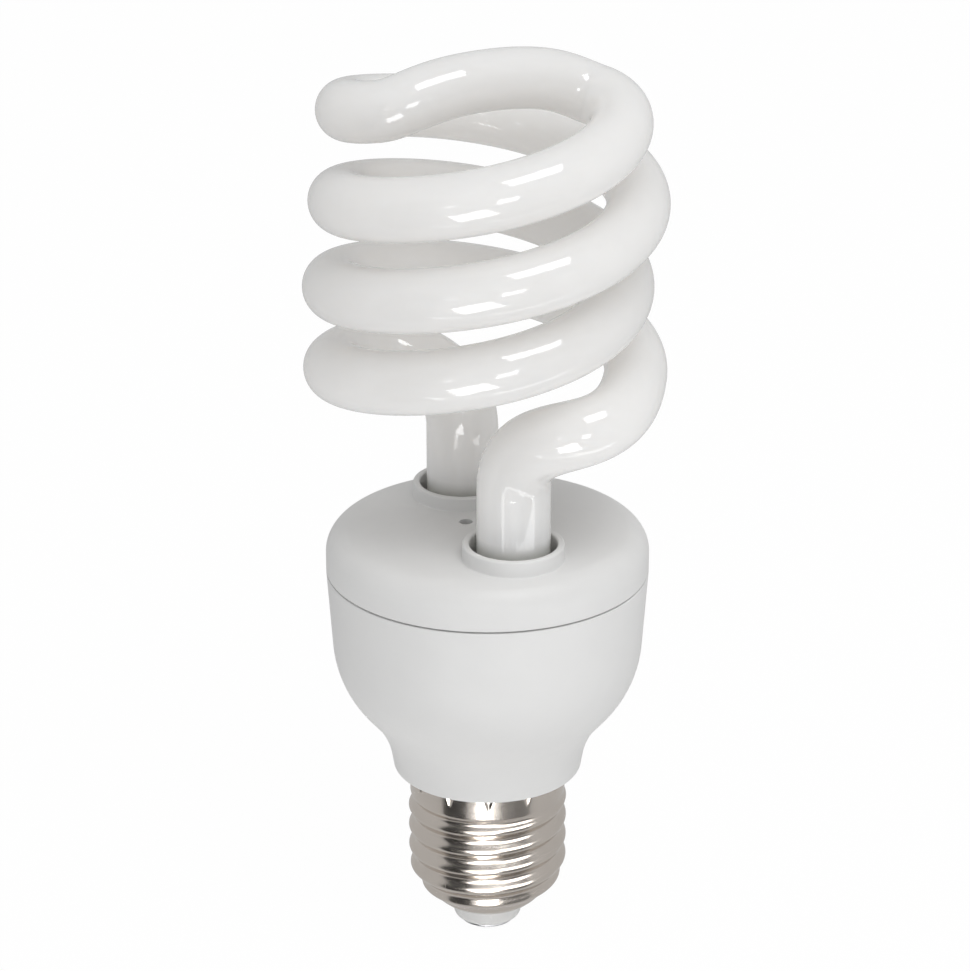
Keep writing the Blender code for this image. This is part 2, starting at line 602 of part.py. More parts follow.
def make_choke(ferrite, tape):
    """The choke: a two-window core, and a winding round its middle leg."""
    height = COMPONENT_TOP - CHOKE_WINDING_HEIGHT / 2
    place = on_board(CHOKE_PLACE_SHARES, height)
    core = block("choke_core", (CHOKE_CORE_LENGTH, CHOKE_CORE_WIDTH, CHOKE_CORE_THICKNESS), ferrite)
    core.location = place
    window_length = CHOKE_CORE_LENGTH - 2 * CHOKE_YOKE
    window_width = (CHOKE_CORE_WIDTH - CHOKE_CENTRE_LEG) / 2 - CHOKE_OUTER_LEG
    for side in (1, -1):
        size = (window_length, window_width, CHOKE_CORE_THICKNESS + 2 * CUT_OVERRUN)
        window = block(f"choke_window_{side}", size, ferrite)
        window.location = place + Vector((0, side * (CHOKE_CENTRE_LEG + window_width) / 2, 0))
        boolean(core, window, "DIFFERENCE")
    winding_length = window_length - 2 * CLEARANCE
    winding_width = CHOKE_CENTRE_LEG + 2 * (window_width - CLEARANCE)
    winding = block("choke_winding", (winding_length, winding_width, CHOKE_WINDING_HEIGHT), tape)
    winding.location = place
    hole_size = (
        winding_length + 2 * CUT_OVERRUN,
        CHOKE_CENTRE_LEG + 2 * CLEARANCE,
        CHOKE_CORE_THICKNESS + 2 * CLEARANCE,
    )
    hole = block("choke_winding_hole", hole_size, tape)
    hole.location = place
    boolean(winding, hole, "DIFFERENCE")


def make_toroid(ferrite):
    """The small drive transformer's ring."""
    bottom = COMPONENT_TOP - TOROID_THICKNESS
    outline = [
        (TOROID_HOLE_RADIUS, COMPONENT_TOP), (TOROID_RADIUS, COMPONENT_TOP),
        (TOROID_RADIUS, bottom), (TOROID_HOLE_RADIUS, bottom),
    ]
    turned("toroid_core", outline, ferrite, SMALL_SEGMENTS).location = on_board(TOROID_PLACE_SHARES)


def make_transistor(name, shares, plastic):
    """A switching transistor that stands on its legs, with one chamfered long edge."""
    shape = bmesh.new()
    half_width = TRANSISTOR_WIDTH / 2
    half_thickness = TRANSISTOR_THICKNESS / 2
    plan = [
        (-half_thickness, -half_width), (half_thickness, -half_width),
        (half_thickness, half_width - TRANSISTOR_NOTCH), (half_thickness - TRANSISTOR_NOTCH, half_width),
        (-half_thickness, half_width),
    ]
    face = shape.faces.new([shape.verts.new((x, y, COMPONENT_TOP)) for x, y in plan])
    grown = bmesh.ops.extrude_face_region(shape, geom=[face])
    corners = [item for item in grown["geom"] if isinstance(item, bmesh.types.BMVert)]
    bmesh.ops.translate(shape, verts=corners, vec=(0, 0, -TRANSISTOR_HEIGHT))
    solid(name, shape, plastic).location = on_board(shares)


def make_film_capacitor(name, size, shares, lacquer):
    """A dipped film capacitor with softened edges."""
    thing = block(name, size, lacquer, FILM_CAPACITOR_EDGE)
    thing.location = on_board(shares, COMPONENT_TOP - size[2] / 2)


def make_inductor(ferrite):
    """The filter inductor: a drum with a winding between its flanges."""
    top = COMPONENT_TOP
    bottom = top - INDUCTOR_HEIGHT
    waist = INDUCTOR_RADIUS - INDUCTOR_WAIST
    outline = [
        (0, top), (INDUCTOR_RADIUS, top),
        (INDUCTOR_RADIUS, top - INDUCTOR_FLANGE), (waist, top - INDUCTOR_FLANGE),
        (waist, bottom + INDUCTOR_FLANGE), (INDUCTOR_RADIUS, bottom + INDUCTOR_FLANGE),
        (INDUCTOR_RADIUS, bottom), (0, bottom),
    ]
    inductor = turned("filter_inductor", outline, ferrite, COMPONENT_SEGMENTS)
    inductor.location = on_board(INDUCTOR_PLACE_SHARES)


def make_ballast_parts(finishes):
    """Everything that hangs under the board."""
    make_capacitor(finishes["sleeve"])
    make_choke(finishes["ferrite"], finishes["tape"])
    make_toroid(finishes["ferrite"])
    make_inductor(finishes["ferrite"])
    for number, shares in enumerate(TRANSISTOR_PLACE_SHARES, 1):
        make_transistor(f"transistor_{number}", shares, finishes["black plastic"])
    for number, (size, shares) in enumerate(zip(FILM_CAPACITOR_SIZES, FILM_CAPACITOR_PLACE_SHARES), 1):
        make_film_capacitor(f"film_capacitor_{number}", size, shares, finishes["lacquer"])
    for number in range(4):
        offset = Vector(((number % 2 - 0.5) * DIODE_SPACING_X, (number // 2 - 0.5) * DIODE_SPACING_Y, 0))
        place = on_board(DIODE_PLACE_SHARES) + offset
        name = f"rectifier_diode_{number + 1}"
        rod(name, DIODE_RADIUS, DIODE_LENGTH, place, True, finishes["black plastic"])
    for number in range(3):
        place = on_board(RESISTOR_PLACE_SHARES) + Vector((0, (number - 1) * RESISTOR_SPACING, 0))
        rod(f"resistor_{number + 1}", RESISTOR_RADIUS, RESISTOR_LENGTH, place, True, finishes["resistor"])
    rod("fuse_resistor", FUSE_RADIUS, FUSE_LENGTH, on_board(FUSE_PLACE_SHARES), False, finishes["resistor"])
    rod("trigger_diac", DIAC_RADIUS, DIAC_LENGTH, on_board(DIAC_PLACE_SHARES), False, finishes["diac"])


def make_pins_and_filament_leads(metal):
    """Four wire pins on the board, and the four leads that reach them from the ends of the tube."""
    number = 1
    for turn_over in (False, True):
        for shares in PIN_PLACE_SHARES:
            pin_middle = on_board(shares, BOARD_TOP + CLEARANCE + PIN_HEIGHT / 2)
            leg = Vector((LEG_X, LEG_Y, LEG_BOTTOM - CLEARANCE))
            outward = Vector((pin_middle.x - leg.x, pin_middle.y - leg.y, 0)).normalized()
            start = leg + outward * LEAD_SPREAD
            below = start - Vector((0, 0, LEAD_DROP))
            end = pin_middle - outward * (PIN_SIDE + LEAD_RADIUS)
            end.z = below.z - LEAD_RADIUS
            bend = below + outward * LEAD_RADIUS - Vector((0, 0, LEAD_RADIUS / 2))
            route = [start, start.lerp(below, LEAD_BEND_SHARE), bend, end]
            if turn_over:
                route = [half_turn(point) for point in route]
                pin_middle = half_turn(pin_middle)
            pin = block(f"wire_pin_{number}", (PIN_SIDE, PIN_SIDE, PIN_HEIGHT), metal)
            pin.location = pin_middle
            swept(f"filament_lead_{number}", [(point, LEAD_RADIUS) for point in route], metal, WIRE_SIDES)
            number += 1


def make_cap_leads(wire):
    """The two insulated leads from the board to the centre contact and to the screw cap."""
    neck = NECK_BOTTOM + NECK_LENGTH
    heights = (COMPONENT_TOP, COMPONENT_TOP - CHOKE_WINDING_HEIGHT, neck, SPIGOT_BOTTOM)
    live = [on_board(shares, height) for shares, height in zip(LIVE_LEAD_SHARES, heights)]
    live.append(Vector((0, 0, INSULATOR_TOP_HEIGHT + WIRE_RADIUS)))
    live.append(Vector((0, 0, CONTACT_STEM_HEIGHT + CLEARANCE)))
    neutral = [on_board(shares, height) for shares, height in zip(NEUTRAL_LEAD_SHARES, heights)]
    outward = Vector((neutral[-1].x, neutral[-1].y, 0)).normalized()
    under = SPIGOT_BOTTOM - CLEARANCE - 2 * WIRE_RADIUS
    inside = SPIGOT_RADIUS - SPIGOT_WALL - WIRE_RADIUS - CLEARANCE
    neutral.append(outward * inside + Vector((0, 0, SPIGOT_BOTTOM + 2 * WIRE_RADIUS)))
    neutral.append(outward * inside + Vector((0, 0, under)))
    neutral.append(outward * (CAP_INNER_RADIUS - CLEARANCE) + Vector((0, 0, under)))
    for name, route in (("live_lead", live), ("neutral_lead", neutral)):
        swept(name, [(point, WIRE_RADIUS) for point in smoothed(route)], wire, WIRE_SIDES)


def smoothed(route):
    """Cuts each inner corner of a route into two points, so that a wire bends round it."""
    line = [route[0]]
    for before, corner, after in zip(route, route[1:], route[2:]):
        line += [corner.lerp(before, WIRE_BEND_SHARE), corner.lerp(after, WIRE_BEND_SHARE)]
    return line + [route[-1]]


def main():
    for thing in list(bpy.data.objects):
        bpy.data.objects.remove(thing, do_unlink=True)
    finishes = {
        "tube": finish("tube_glass", (0.84, 0.83, 0.82), 0.12),
        "base": finish("base_plastic", (0.68, 0.68, 0.68), 0.38),
        "cap": finish("cap_nickel", (0.62, 0.58, 0.54), 0.16, 1.0),
        "insulator": finish("insulator_glass", (0.74, 0.74, 0.74), 0.30),
        "contact": finish("contact_solder", (0.60, 0.60, 0.61), 0.32, 1.0),
        "cement": finish("cement", (0.55, 0.55, 0.54), 0.70),
        "laminate": finish("laminate", (0.58, 0.44, 0.24), 0.55),
        "sleeve": finish("capacitor_sleeve", (0.03, 0.04, 0.10), 0.35),
        "ferrite": finish("ferrite", (0.06, 0.06, 0.065), 0.60),
        "tape": finish("winding_tape", (0.75, 0.60, 0.12), 0.45),
        "black plastic": finish("black_plastic", (0.03, 0.03, 0.03), 0.45),
        "lacquer": finish("red_lacquer", (0.42, 0.08, 0.04), 0.30),
        "resistor": finish("resistor_coat", (0.50, 0.62, 0.66), 0.45),
        "diac": finish("diac_glass", (0.10, 0.22, 0.45), 0.25),
        "lead": finish("tinned_lead", (0.66, 0.65, 0.63), 0.35, 1.0),
        "wire": finish("wire_insulation", (0.70, 0.70, 0.68), 0.45),
    }
    make_tube(finishes["tube"])
    make_cover(finishes["base"])
    make_housing(finishes["base"])
    make_cement("tube_cement_1", 1, finishes["cement"])
    make_cement("tube_cement_2", -1, finishes["cement"])
    make_screw_cap(finishes["cap"])
    make_insulator(finishes["insulator"])
    make_contact(finishes["contact"])
    make_board(finishes["laminate"])
    make_ballast_parts(finishes)
    make_pins_and_filament_leads(finishes["lead"])
    make_cap_leads(finishes["wire"])


main()
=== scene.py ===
# Looks of a coiled fluorescent lamp: fine surfaces, finishes, studio light and camera round its solids.
# The frame's origin is the foot of the centre contact. +Z runs up the lamp's axis, -Y is the front.
# All lengths are metres and all angles are radians.
import json
from math import atan, ceil, cos, hypot, pi, radians, sin, sqrt, tan

import bmesh
import bpy
from mathutils import Matrix, Vector
from mathutils.geometry import delaunay_2d_cdt


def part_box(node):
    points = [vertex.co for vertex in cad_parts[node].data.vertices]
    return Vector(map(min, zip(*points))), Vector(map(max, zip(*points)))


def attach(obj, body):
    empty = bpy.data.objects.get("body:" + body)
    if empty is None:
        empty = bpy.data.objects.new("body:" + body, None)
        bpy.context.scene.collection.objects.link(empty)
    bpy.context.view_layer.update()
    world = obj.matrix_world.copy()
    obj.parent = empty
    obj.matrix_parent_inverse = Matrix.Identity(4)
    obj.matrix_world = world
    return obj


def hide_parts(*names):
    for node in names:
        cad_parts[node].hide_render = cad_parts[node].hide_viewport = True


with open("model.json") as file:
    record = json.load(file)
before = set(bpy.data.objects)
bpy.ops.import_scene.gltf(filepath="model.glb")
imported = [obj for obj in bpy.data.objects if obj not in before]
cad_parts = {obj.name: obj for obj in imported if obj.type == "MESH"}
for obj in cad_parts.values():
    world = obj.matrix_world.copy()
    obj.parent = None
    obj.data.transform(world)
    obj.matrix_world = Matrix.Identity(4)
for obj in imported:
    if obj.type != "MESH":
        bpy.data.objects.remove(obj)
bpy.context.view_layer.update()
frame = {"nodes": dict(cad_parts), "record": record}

# Fits and facets
CLEARANCE = 0.0003
SHARP_ANGLE = radians(40)
MERGE_DISTANCE = 0.000001
ROUND_STEPS = 4
ARC_STEPS = 24
LATHE_SEGMENTS = 192
COLLAR_SEGMENTS = 112
SMALL_SEGMENTS = 72
PLATE_GRID = 0.0007
TUBE_SIDES = 56
COIL_STEPS_PER_TURN = 190
BEND_STEPS = 44
BRIDGE_STEPS = 36
LEG_STEPS = 10
CAP_SEGMENTS = 480
CAP_LEVELS = 170
CAP_INNER_LEVELS = 20

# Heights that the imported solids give
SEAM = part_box("lower_housing")[1].z + CLEARANCE / 2
CAP_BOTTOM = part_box("screw_cap")[0].z
CAP_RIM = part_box("screw_cap")[1].z
NECK_BOTTOM = CAP_RIM + CLEARANCE
LEG_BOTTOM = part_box("spiral_tube")[0].z
CONTACT_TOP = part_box("cap_insulator")[0].z - CLEARANCE

# Lower housing
HOUSING_RIM_RADIUS = 0.0262
HOUSING_WALL = 0.0016
WALL_DRAFT = radians(4.0)
BOWL_SHOULDER_RADIUS = 0.0185
BOWL_SLANT = radians(40.4)
BOWL_STRAIGHT = 0.0025
NECK_FILLET_RADIUS = 0.0154
NECK_DRAFT = radians(9.5)
NECK_LENGTH = 0.0022
NECK_EDGE = 0.0005
SPIGOT_RADIUS = 0.0116
SPIGOT_LENGTH = 0.0130
SPIGOT_WALL = 0.0013
SEAM_EDGE = 0.00018

# Top cover
COVER_HEIGHT = 0.0075
COVER_CROWN = 0.0004
COVER_SHOULDER = 0.0040
COVER_WALL = 0.0016
COVER_SPIGOT_LENGTH = 0.0040
COVER_SPIGOT_WALL = 0.0012
PLATE_EDGE_ANGLE = radians(30)
COLLAR_HEIGHT = 0.0098
COLLAR_WALL = 0.00115
COLLAR_GAP = 0.0011
COLLAR_ROUND = 0.00036
COLLAR_FILLET = 0.0002
SHOULDER_CENTRE_RADIUS = HOUSING_RIM_RADIUS - COVER_SHOULDER
SHOULDER_CENTRE_HEIGHT = SEAM + COVER_HEIGHT - COVER_CROWN - COVER_SHOULDER
CROWN_SLOPE = atan(2 * COVER_CROWN / SHOULDER_CENTRE_RADIUS)
CROWN_RADIUS = SHOULDER_CENTRE_RADIUS + COVER_SHOULDER * sin(CROWN_SLOPE)
VENT_RADIUS = 0.0011
VENT_X = -0.0035
VENT_Y = 0.0008
VENT_SEGMENTS = 36
CEMENT_TOP_HEIGHT = 0.0050
CEMENT_LENGTH = 0.0027
CEMENT_ROUND = 0.0002

# Glass tube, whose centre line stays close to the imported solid's
LEG_X = 0.00412
LEG_Y = -0.01298
LEG_RADIUS = 0.0059
LEG_TOP_HEIGHT = 0.0192
LEG_TIP_LENGTH = 0.0040
LEG_TIP_SHARE = 0.45
COIL_TUBE_RADIUS = 0.00502
COIL_PITCH = 0.02778
COIL_START_ANGLE = radians(-7.0)
COIL_END_ANGLE = radians(489.7)
FIRST_COIL_RADIUS = 0.02388
FIRST_COIL_SHIFT = -0.00033
FIRST_COIL_FLARE = 0.0
FIRST_COIL_HEIGHT = 0.0345
SECOND_COIL_RADIUS = 0.02217
SECOND_COIL_SHIFT = 0.00091
SECOND_COIL_FLARE = 0.0012
SECOND_COIL_HEIGHT = 0.0347
BRIDGE_TUBE_RADIUS = 0.00481
BRIDGE_HEIGHT = 0.08174
BRIDGE_HEADING = radians(24.7)
KNUCKLE_RADIUS = 0.01746
KNUCKLE_ANGLE = radians(194.9)
KNUCKLE_HEIGHT = 0.0781
KNUCKLE_HEADING = radians(-25.0)
KNUCKLE_SLOPE_SHARE = 0.21
LEG_PULL_SHARE = 1.5
COIL_START_PULL_SHARE = 3.0
COIL_END_PULL_SHARE = 1.68
KNUCKLE_PULL_SHARE = 0.78
BRIDGE_PULL_SHARE = 1.90

# Screw cap
CAP_CREST_RADIUS = 0.01312
CAP_END_RADIUS = 0.0081
CAP_WALL = 0.0003
CAP_SHOULDER_RADIUS = 0.0077
CAP_CONE_SLANT = radians(49.3)
THREAD_PITCH = 0.003629
THREAD_DEPTH = 0.00092
THREAD_PLAIN = 0.0042
THREAD_FADE = 0.0015
THREAD_FOOT = 0.0006
THREAD_RUN_OUT = 0.0026
THREAD_TURN_SHARE = 0.563
THREAD_RIM_SHARE = 0.3
MARK_COUNT = 12
MARK_START = radians(1.0)
MARK_HALF_WIDTH = 0.0011
MARK_LENGTH = 0.0029
MARK_SLOPE = 0.6
CAP_CONE_TOP_RADIUS = CAP_CREST_RADIUS - CAP_SHOULDER_RADIUS * (1 - cos(CAP_CONE_SLANT))
CAP_CONE_TOP = CAP_BOTTOM + (CAP_CONE_TOP_RADIUS - CAP_END_RADIUS) / tan(CAP_CONE_SLANT)
CAP_SHOULDER_TOP = CAP_CONE_TOP + CAP_SHOULDER_RADIUS * sin(CAP_CONE_SLANT)

# Insulator and centre contact
INSULATOR_NECK_RADIUS = 0.00565
INSULATOR_NECK_HEIGHT = 0.0019
INSULATOR_FOOT_RADIUS = 0.0051
INSULATOR_TOP_HEIGHT = 0.0075
CONTACT_RADIUS = 0.0046
CONTACT_EDGE = 0.0003
CONTACT_STEM_RADIUS = 0.0014
CONTACT_STEM_HEIGHT = 0.0045

# Camera, in the photograph's frame of 970 by 971 pixels
FRAME_WIDTH = 970
FRAME_HEIGHT = 971
SENSOR_WIDTH = 36.0
FOCAL_PIXELS = 3690
CAMERA_DISTANCE = 0.600
CAMERA_CLIP_START = 0.060
CAMERA_ELEVATION = radians(23.8)
SEAM_PIXEL = (487.7, 565.9)

# Stage. Each card that gloss mirrors has its aim height, azimuth and elevation in degrees, distance, width,
# height, roll in degrees and strength. Azimuth 0 is the front and 90 the right.
FLOOR_SIZE = 6.0
FLOOR_GLOW_SHARE = 0.98
FLOOR_WHITE = 0.85
BACKDROP_WHITE = 1.0
ROOM_LIGHT = 0.612
ROOM_IN_GLOSS = 0.52
CARDS = {
    "card_top": (0.125, 30, 61, 0.9, 0.45, 0.36, 0, 10.0),
    "card_front": (0.120, -4, -25, 0.40, 0.17, 0.19, 25, 9.0),
    "card_small": (0.120, 13, 6, 0.9, 0.22, 0.20, 0, 8.0),
    "card_spot": (0.120, -25, 12, 0.9, 0.10, 0.08, 0, 4.0),
    "card_cap": (0.016, 15, 18, 0.075, 0.14, 0.036, 0, 3.5),
    "flag_leg": (0.0555, -2, 0, 0.065, 0.040, 0.0175, 0, 0.9),
    "flag_left": (0.016, -49, 0, 0.30, 0.21, 0.60, 0, 0.04),
    "flag_right": (0.016, 42, 0, 0.30, 0.25, 0.60, 0, 0.20),
}
# Each softbox that lights the lamp has its azimuth and elevation in degrees, distance, width and power.
SOFTBOXES = {
    "key_top": (30, 58, 0.9, 0.5, 3.1),
    "key_under": (0, -45, 0.9, 0.5, 1.7),
}


# Finishes: colour, roughness, mottling scale, relief depth, contrast and other shader sockets
METAL = {"Metallic": 1.0}
OUTER_FINISHES = {
    "base_plastic": ((0.76, 0.76, 0.755), 0.48, 120, 0.00001, 0.02, {"Specular IOR Level": 0.35}),
    "cement": ((0.50, 0.50, 0.47), 0.80, 400, 0.0001, 0.20, {}),
    "cap_nickel": ((0.76, 0.70, 0.64), 0.20, 160, 0.000004, 0.05, METAL),
    "insulator": ((0.83, 0.83, 0.825), 0.25, 200, 0.00001, 0.03, {}),
    "contact_solder": ((0.60, 0.60, 0.61), 0.32, 500, 0.00003, 0.10, METAL),
}
INNER_FINISHES = {
    "laminate": ((0.58, 0.44, 0.24), 0.60, 300, 0.00002, 0.20, {}),
    "capacitor_sleeve": ((0.03, 0.04, 0.10), 0.30, 200, 0.00001, 0.10, {}),
    "ferrite": ((0.06, 0.06, 0.065), 0.70, 500, 0.00003, 0.30, {}),
    "winding_tape": ((0.75, 0.60, 0.12), 0.30, 150, 0.00001, 0.08, {}),
    "black_epoxy": ((0.03, 0.03, 0.03), 0.50, 400, 0.00001, 0.20, {}),
    "red_lacquer": ((0.42, 0.08, 0.04), 0.20, 150, 0.00003, 0.15, {}),
    "resistor_coat": ((0.50, 0.62, 0.66), 0.40, 200, 0.00002, 0.10, {}),
    "diac_glass": ((0.10, 0.22, 0.45), 0.10, 200, 0.00001, 0.10, {}),
    "tinned_metal": ((0.66, 0.65, 0.63), 0.30, 300, 0.00001, 0.10, METAL),
    "wire_insulation": ((0.70, 0.70, 0.68), 0.45, 200, 0.00001, 0.05, {}),
}
NOISE_RANGE = (0.3, 0.7)
ROUGHNESS_SWING = 0.15
ROUGHNESS_FINENESS = 3
RELIEF_FINENESS = 12
PLAIN_DETAIL = 2
RELIEF_DETAIL = 3

# Coated glass, whose heights are counted from the seam
COAT_COLOUR = (0.83, 0.81, 0.785)
COAT_DARKER = (0.82, 0.80, 0.775)
COAT_LIGHTER = (0.85, 0.83, 0.805)
COAT_MOTTLE_SCALE = 90
COAT_START_HEIGHT = 0.0095
COAT_FULL_HEIGHT = 0.0115
# Darker grey below the coat's edge: part bare glass, part painted shade of the gap between each leg and its
# collar
BARE_GLASS_AND_SHADE_COLOUR = (0.60, 0.60, 0.57)
GLASS_ROUGHNESS = 0.05
GLASS_ROUGHNESS_RANGE = (0.02, 0.035)
GLASS_MOTTLE_SCALE = 300
GLASS_SCATTER = (0.030, 0.0285, 0.027)


def put(name, shape, finish, slot, *nodes):
    """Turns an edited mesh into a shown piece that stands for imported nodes."""
    bmesh.ops.recalc_face_normals(shape, faces=shape.faces)
    mesh = bpy.data.meshes.new(name)
    shape.to_mesh(mesh)
    shape.free()
    mesh.shade_smooth()
    mesh.set_sharp_from_angle(angle=SHARP_ANGLE)
    mesh.materials.append(finish)
    piece = bpy.data.objects.new(name, mesh)
    bpy.context.scene.collection.objects.link(piece)
    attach(piece, "root")
    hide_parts(*nodes)
    return piece


# Outlines

def arc(centre, radius, start, end, steps=ARC_STEPS):
    """Points on an arc of an outline, its angles counted from +radius towards +height."""
    angles = [start + (end - start) * step / steps for step in range(steps + 1)]
    return [(centre[0] + radius * cos(angle), centre[1] + radius * sin(angle)) for angle in angles]


def rounded(corners, steps=ROUND_STEPS):
    """Turns (radius, height, rounding) corners of a closed outline into points, rounded ones into arcs."""
    points = []
    for index, (radius, height, rounding) in enumerate(corners):
        here = Vector((radius, height))
        if rounding == 0:
            points.append((radius, height))
            continue
        back = (Vector(corners[index - 1][:2]) - here).normalized()
        on = (Vector(corners[(index + 1) % len(corners)][:2]) - here).normalized()
        half = back.angle(on) / 2
        centre = here + (back + on).normalized() * rounding / sin(half)
        start = (here + back * rounding / tan(half) - centre).normalized()
        end = (here + on * rounding / tan(half) - centre).normalized()
        for step in range(steps + 1):
            spoke = start.slerp(end, step / steps) * rounding
            points.append((centre.x + spoke.x, centre.y + spoke.y))
    return points


def circle(segments):
    """The angles of a ring's corners."""
    return [2 * pi * step / segments for step in range(segments)]


def ring(shape, centre, radius, height, segments):
    """A ring of vertices round an upright axis."""
    places = [(centre[0] + radius * cos(a), centre[1] + radius * sin(a), height) for a in circle(segments)]
    return [shape.verts.new(place) for place in places]


def bridge(shape, lower, upper):
    """Faces between two rings of as many vertices."""
    for step in range(len(lower)):
        shape.faces.new((lower[step - 1], lower[step], upper[step], upper[step - 1]))


def lathe(outline, segments=LATHE_SEGMENTS, centre=(0, 0)):
    """Spins a closed outline of (radius, height) points. One that starts on the axis also ends there."""
    shape = bmesh.new()
    rings = [ring(shape, centre, radius, height, segments) for radius, height in outline]
    for lower, upper in zip(rings, rings[1:]):
        bridge(shape, lower, upper)
    if outline[0][0] > 0:
        bridge(shape, rings[-1], rings[0])
    bmesh.ops.remove_doubles(shape, verts=shape.verts, dist=MERGE_DISTANCE)
    return shape


# Glass tube

def curve(start, start_pull, end, end_pull, share):
    """A point on a smooth curve between two points that leave and arrive along given pulls."""
    past = 1 - share
    return (
        start * (past * past * (1 + 2 * share)) + start_pull * (past * past * share)
        + end * (share * share * (3 - 2 * share)) - end_pull * (share * share * past)
    )


def coil_point(angle, radius, flare, shift, height):
    """A point on the centre line of one coil, which starts a little wider by its flare."""
    if angle < pi:
        radius = radius + flare * (1 - angle / pi) ** 2
    rise = COIL_PITCH * angle / (2 * pi)
    return Vector((radius * cos(angle) + shift, radius * sin(angle), SEAM + height + rise))


def coil_heading(angle, radius):
    """The direction in which a coil runs at an angle."""
    return Vector((-radius * sin(angle), radius * cos(angle), COIL_PITCH / (2 * pi))).normalized()


def heading(angle, slope=0.0):
    """A direction given by its plan angle and its rise for each unit of run."""
    return Vector((cos(angle), sin(angle), slope)).normalized()


def leg_line():
    """The straight leg, from its rounded sealed tip up to the bend."""
    line = []
    for step in range(LEG_STEPS + 1):
        angle = pi / 2 * step / LEG_STEPS
        radius = LEG_RADIUS * (LEG_TIP_SHARE + (1 - LEG_TIP_SHARE) * sin(angle))
        line.append((Vector((LEG_X, LEG_Y, LEG_BOTTOM + LEG_TIP_LENGTH * (1 - cos(angle)))), radius))
    straight = SEAM + LEG_TOP_HEIGHT - line[-1][0].z
    for step in range(1, LEG_STEPS + 1):
        line.append((line[LEG_STEPS][0] + Vector((0, 0, straight * step / LEG_STEPS)), LEG_RADIUS))
    return line


def strand(radius, flare, shift, height):
    """Half of the tube: a leg, a bend, a coil and a bridge that ends over the lamp's axis."""
    line = leg_line()
    leg_top = line[-1][0]
    coil_start = coil_point(COIL_START_ANGLE, radius, flare, shift, height)
    reach = (coil_start - leg_top).length
    up = Vector((0, 0, reach * LEG_PULL_SHARE))
    around = coil_heading(COIL_START_ANGLE, radius) * reach * COIL_START_PULL_SHARE
    for step in range(1, BEND_STEPS):
        share = step / BEND_STEPS
        tube_radius = LEG_RADIUS + (COIL_TUBE_RADIUS - LEG_RADIUS) * share
        line.append((curve(leg_top, up, coil_start, around, share), tube_radius))
    turn = COIL_END_ANGLE - COIL_START_ANGLE
    steps = ceil(COIL_STEPS_PER_TURN * turn / (2 * pi))
    for step in range(steps + 1):
        angle = COIL_START_ANGLE + turn * step / steps
        line.append((coil_point(angle, radius, flare, shift, height), COIL_TUBE_RADIUS))
    coil_end = line[-1][0]
    knuckle_plan = Vector((cos(KNUCKLE_ANGLE), sin(KNUCKLE_ANGLE), 0)) * KNUCKLE_RADIUS
    knuckle = knuckle_plan + Vector((0, 0, SEAM + KNUCKLE_HEIGHT))
    knuckle_heading = heading(KNUCKLE_HEADING, KNUCKLE_SLOPE_SHARE) * KNUCKLE_PULL_SHARE
    middle = Vector((0, 0, SEAM + BRIDGE_HEIGHT))
    rise = (knuckle - coil_end).length
    away = coil_heading(COIL_END_ANGLE, radius) * rise * COIL_END_PULL_SHARE
    for step in range(1, BRIDGE_STEPS):
        share = step / BRIDGE_STEPS
        tube_radius = COIL_TUBE_RADIUS + (BRIDGE_TUBE_RADIUS - COIL_TUBE_RADIUS) * share
        line.append((curve(coil_end, away, knuckle, knuckle_heading * rise, share), tube_radius))
    span = (middle - knuckle).length
    across = heading(BRIDGE_HEADING) * span * BRIDGE_PULL_SHARE
    for step in range(BRIDGE_STEPS + 1):
        share = step / BRIDGE_STEPS
        line.append((curve(knuckle, knuckle_heading * span, middle, across, share), BRIDGE_TUBE_RADIUS))
    return line


def half_turn(point):
    """The same point on the lamp's other side."""
    return Vector((-point.x, -point.y, point.z))


def make_tube(finish):
    """The whole glass tube, as one fine round section carried along its centre line."""
    first = strand(FIRST_COIL_RADIUS, FIRST_COIL_FLARE, FIRST_COIL_SHIFT, FIRST_COIL_HEIGHT)
    second = strand(SECOND_COIL_RADIUS, SECOND_COIL_FLARE, SECOND_COIL_SHIFT, SECOND_COIL_HEIGHT)
    line = first + [(half_turn(point), radius) for point, radius in reversed(second)][1:]
    shape = bmesh.new()
    side = Vector((1, 0, 0))
    rings = []
    for index, (point, radius) in enumerate(line):
        along = (line[min(index + 1, len(line) - 1)][0] - line[max(index - 1, 0)][0]).normalized()
        side = (side - along * side.dot(along)).normalized()
        over = along.cross(side)
        spokes = [side * cos(turn) + over * sin(turn) for turn in circle(TUBE_SIDES)]
        rings.append([shape.verts.new(point + spoke * radius) for spoke in spokes])
    for lower, upper in zip(rings, rings[1:]):
        bridge(shape, lower, upper)
    shape.faces.new(rings[0])
    shape.faces.new(rings[-1])
    return put("coiled_tube", shape, finish, "coated_glass", "spiral_tube")


# Moulded base

def cover_top(x, y):
    """Height of the cover's outer face: a slight crown that runs into the round shoulder."""
    radius = hypot(x, y)
    if radius > CROWN_RADIUS:
        return SHOULDER_CENTRE_HEIGHT + sqrt(COVER_SHOULDER ** 2 - (radius - SHOULDER_CENTRE_RADIUS) ** 2)
    rise = COVER_CROWN * (1 - (radius / CROWN_RADIUS) ** 2)
    return SHOULDER_CENTRE_HEIGHT + COVER_SHOULDER * cos(CROWN_SLOPE) + rise


def cover_underside(x, y):
    """Height of the flat inner face of the cover."""
    return SEAM + COVER_HEIGHT - COVER_WALL - COVER_CROWN


